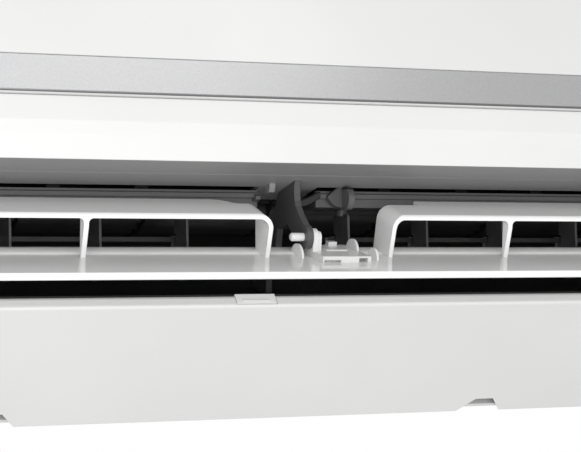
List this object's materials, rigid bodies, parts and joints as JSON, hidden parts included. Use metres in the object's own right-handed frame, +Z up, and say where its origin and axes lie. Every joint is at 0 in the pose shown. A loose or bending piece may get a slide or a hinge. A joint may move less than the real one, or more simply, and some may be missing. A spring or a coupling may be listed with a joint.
{
  "type": "wall-mounted air conditioner indoor unit",
  "caption": "Wall-mounted split air conditioner indoor unit with hinged front panel, tilting louver, turning vanes, cross-flow fan, coil, filters and wall plate.",
  "frame": {"origin": "middle of the mounting plate's four wall screw holes, on the plate's back face", "axes": "+X along the unit, to the right as seen from the room, +Y into the wall, +Z up"},
  "size_m": [0.845, 0.198, 0.2968],
  "materials": {
    "casing_white": "fine satin texture",
    "grille_white": "satin",
    "panel_white": "semi-gloss",
    "trim_silver": "fine metallic grain, satin",
    "lens_smoke": "smooth, slightly see-through",
    "base_black": "satin",
    "duct_grey": "satin",
    "bracket_grey": "satin",
    "louver_white": "semi-gloss",
    "bearing_white": "satin",
    "shaft_white": "satin",
    "rail_grey": "satin",
    "vane_grey": "satin",
    "link_grey": "satin",
    "fan_black": "matt",
    "rubber_black": "matt",
    "shaft_steel": "ground",
    "bush_brass": "sintered",
    "motor_steel": "zinc plated",
    "clamp_white": "satin",
    "fin_aluminium": "thin fins, blue-tinted coating",
    "tube_copper": "drawn copper, slightly dulled",
    "plate_steel": "galvanised",
    "pan_white": "satin",
    "box_white": "satin",
    "board_green": "lacquered",
    "terminal_cream": "moulded",
    "button_white": "smooth",
    "filter_grey": "mesh in a thin frame",
    "nut_brass": "turned",
    "cap_white": "satin",
    "screw_steel": "zinc plated"
  },
  "bodies": {
    "casing": {"mounting_plate": "plate_steel", "front_frame": "casing_white", "intake_grille": "grille_white", "rear_base": "base_black", "outlet_duct": "duct_grey", "center_bracket": "bracket_grey", "vane_rail_left": "rail_grey", "vane_rail_right": "rail_grey", "fan_bearing": "bush_brass", "bearing_holder": "rubber_black", "fan_motor": "motor_steel", "motor_clamp": "clamp_white", "evaporator_front": "fin_aluminium", "evaporator_top": "fin_aluminium", "evaporator_rear": "fin_aluminium", "coil_bends": "tube_copper", "coil_end_plates": "plate_steel", "drain_pan": "pan_white", "drain_spigot": "pan_white", "drain_plug": "rubber_black", "control_box": "box_white", "control_box_lid": "plate_steel", "control_board": "board_green", "terminal_block": "terminal_cream", "cable_clamp": "clamp_white", "display_board": "board_green", "refrigerant_pipes": "tube_copper", "flare_nuts": "nut_brass", "louver_motor": "motor_steel", "frame_screws": "screw_steel"},
    "panel": {"front_panel": "panel_white", "silver_trim": "trim_silver", "display_window": "lens_smoke"},
    "louver_body": {"louver": "louver_white", "louver_bearing": "bearing_white", "louver_shaft": "shaft_white"},
    "fan_rotor": {"cross_flow_fan": "fan_black", "fan_hub": "rubber_black", "motor_shaft": "shaft_steel", "fan_stub_shaft": "shaft_steel"},
    "button": {"emergency_button": "button_white"},
    "filter_left_body": {"filter_left": "filter_grey"},
    "filter_right_body": {"filter_right": "filter_grey"},
    "link_left": {"link_bar_left": "link_grey"},
    "link_right": {"link_bar_right": "link_grey"},
    "cap_left": {"screw_cap_left": "cap_white"},
    "cap_center": {"screw_cap_center": "cap_white"},
    "cap_right": {"screw_cap_right": "cap_white"},
    "vane_left_1_body": {"vane_left_1": "vane_grey"},
    "vane_left_2_body": {"vane_left_2": "vane_grey"},
    "vane_left_3_body": {"vane_left_3": "vane_grey"},
    "vane_left_4_body": {"vane_left_4": "vane_grey"},
    "vane_left_5_body": {"vane_left_5": "vane_grey"},
    "vane_right_1_body": {"vane_right_1": "vane_grey"},
    "vane_right_2_body": {"vane_right_2": "vane_grey"},
    "vane_right_3_body": {"vane_right_3": "vane_grey"},
    "vane_right_4_body": {"vane_right_4": "vane_grey"},
    "vane_right_5_body": {"vane_right_5": "vane_grey"},
    "vane_right_6_body": {"vane_right_6": "vane_grey"}
  },
  "joints": [
    {"name": "panel_hinge", "type": "hinge", "parent": "casing", "child": "panel", "pos_m": [0, -0.182, 0.105], "axis": [1, 0, 0], "range_deg": [-60, 0]},
    {"name": "louver_tilt", "type": "hinge", "parent": "casing", "child": "louver_body", "pos_m": [0, -0.129, -0.1277], "axis": [1, 0, 0], "range_deg": [-83, 0]},
    {"name": "fan_spin", "type": "hinge", "parent": "casing", "child": "fan_rotor", "pos_m": [0, -0.08, -0.025], "axis": [1, 0, 0], "continuous": true},
    {"name": "button_press", "type": "slide", "parent": "casing", "child": "button", "axis": [0, 1, 0], "range_m": [0, 0.0015], "stiffness_N_per_m": 400},
    {"name": "filter_left_slide", "type": "hinge", "parent": "casing", "child": "filter_left_body", "pos_m": [0, -0.062, 0], "axis": [1, 0, 0], "range_deg": [-5, 0]},
    {"name": "filter_right_slide", "type": "hinge", "parent": "casing", "child": "filter_right_body", "pos_m": [0, -0.062, 0], "axis": [1, 0, 0], "range_deg": [-5, 0]},
    {"name": "cap_left_hinge", "type": "hinge", "parent": "casing", "child": "cap_left", "pos_m": [-0.29, -0.1133, -0.1626], "axis": [1, 0, 0], "range_deg": [0, 80]},
    {"name": "cap_center_hinge", "type": "hinge", "parent": "casing", "child": "cap_center", "pos_m": [-0.0395, -0.1133, -0.1626], "axis": [1, 0, 0], "range_deg": [0, 80]},
    {"name": "cap_right_hinge", "type": "hinge", "parent": "casing", "child": "cap_right", "pos_m": [0.29, -0.1133, -0.1626], "axis": [1, 0, 0], "range_deg": [0, 80]},
    {"name": "vane_left_1_turn", "type": "hinge", "parent": "casing", "child": "vane_left_1_body", "pos_m": [-0.0636, -0.0934, -0.10184], "axis": [0, -0.5878, 0.809], "range_deg": [-28, 28]},
    {"name": "vane_left_2_turn", "type": "hinge", "parent": "casing", "child": "vane_left_2_body", "pos_m": [-0.1158, -0.0934, -0.10184], "axis": [0, -0.5878, 0.809], "range_deg": [-28, 28]},
    {"name": "vane_left_3_turn", "type": "hinge", "parent": "casing", "child": "vane_left_3_body", "pos_m": [-0.168, -0.0934, -0.10184], "axis": [0, -0.5878, 0.809], "range_deg": [-28, 28]},
    {"name": "vane_left_4_turn", "type": "hinge", "parent": "casing", "child": "vane_left_4_body", "pos_m": [-0.2202, -0.0934, -0.10184], "axis": [0, -0.5878, 0.809], "range_deg": [-28, 28]},
    {"name": "vane_left_5_turn", "type": "hinge", "parent": "casing", "child": "vane_left_5_body", "pos_m": [-0.2724, -0.0934, -0.10184], "axis": [0, -0.5878, 0.809], "range_deg": [-28, 28]},
    {"name": "link_left_slide", "type": "slide", "parent": "casing", "child": "link_left", "axis": [1, 0, 0], "range_m": [-0.0063, 0.0063]},
    {"name": "vane_right_1_turn", "type": "hinge", "parent": "casing", "child": "vane_right_1_body", "pos_m": [0.0385, -0.0934, -0.10184], "axis": [0, -0.5878, 0.809], "range_deg": [-28, 28]},
    {"name": "vane_right_2_turn", "type": "hinge", "parent": "casing", "child": "vane_right_2_body", "pos_m": [0.0907, -0.0934, -0.10184], "axis": [0, -0.5878, 0.809], "range_deg": [-28, 28]},
    {"name": "vane_right_3_turn", "type": "hinge", "parent": "casing", "child": "vane_right_3_body", "pos_m": [0.1429, -0.0934, -0.10184], "axis": [0, -0.5878, 0.809], "range_deg": [-28, 28]},
    {"name": "vane_right_4_turn", "type": "hinge", "parent": "casing", "child": "vane_right_4_body", "pos_m": [0.1951, -0.0934, -0.10184], "axis": [0, -0.5878, 0.809], "range_deg": [-28, 28]},
    {"name": "vane_right_5_turn", "type": "hinge", "parent": "casing", "child": "vane_right_5_body", "pos_m": [0.2473, -0.0934, -0.10184], "axis": [0, -0.5878, 0.809], "range_deg": [-28, 28]},
    {"name": "vane_right_6_turn", "type": "hinge", "parent": "casing", "child": "vane_right_6_body", "pos_m": [0.2995, -0.0934, -0.10184], "axis": [0, -0.5878, 0.809], "range_deg": [-28, 28]},
    {"name": "link_right_slide", "type": "slide", "parent": "casing", "child": "link_right", "axis": [1, 0, 0], "range_m": [-0.0063, 0.0063]}
  ],
  "couplings": [
    {"joint": "vane_left_1_turn", "follows": "link_left_slide", "rad_per_m": -77.107},
    {"joint": "vane_left_2_turn", "follows": "link_left_slide", "rad_per_m": -77.107},
    {"joint": "vane_left_3_turn", "follows": "link_left_slide", "rad_per_m": -77.107},
    {"joint": "vane_left_4_turn", "follows": "link_left_slide", "rad_per_m": -77.107},
    {"joint": "vane_left_5_turn", "follows": "link_left_slide", "rad_per_m": -77.107},
    {"joint": "vane_right_1_turn", "follows": "link_right_slide", "rad_per_m": -77.107},
    {"joint": "vane_right_2_turn", "follows": "link_right_slide", "rad_per_m": -77.107},
    {"joint": "vane_right_3_turn", "follows": "link_right_slide", "rad_per_m": -77.107},
    {"joint": "vane_right_4_turn", "follows": "link_right_slide", "rad_per_m": -77.107},
    {"joint": "vane_right_5_turn", "follows": "link_right_slide", "rad_per_m": -77.107},
    {"joint": "vane_right_6_turn", "follows": "link_right_slide", "rad_per_m": -77.107}
  ]
}
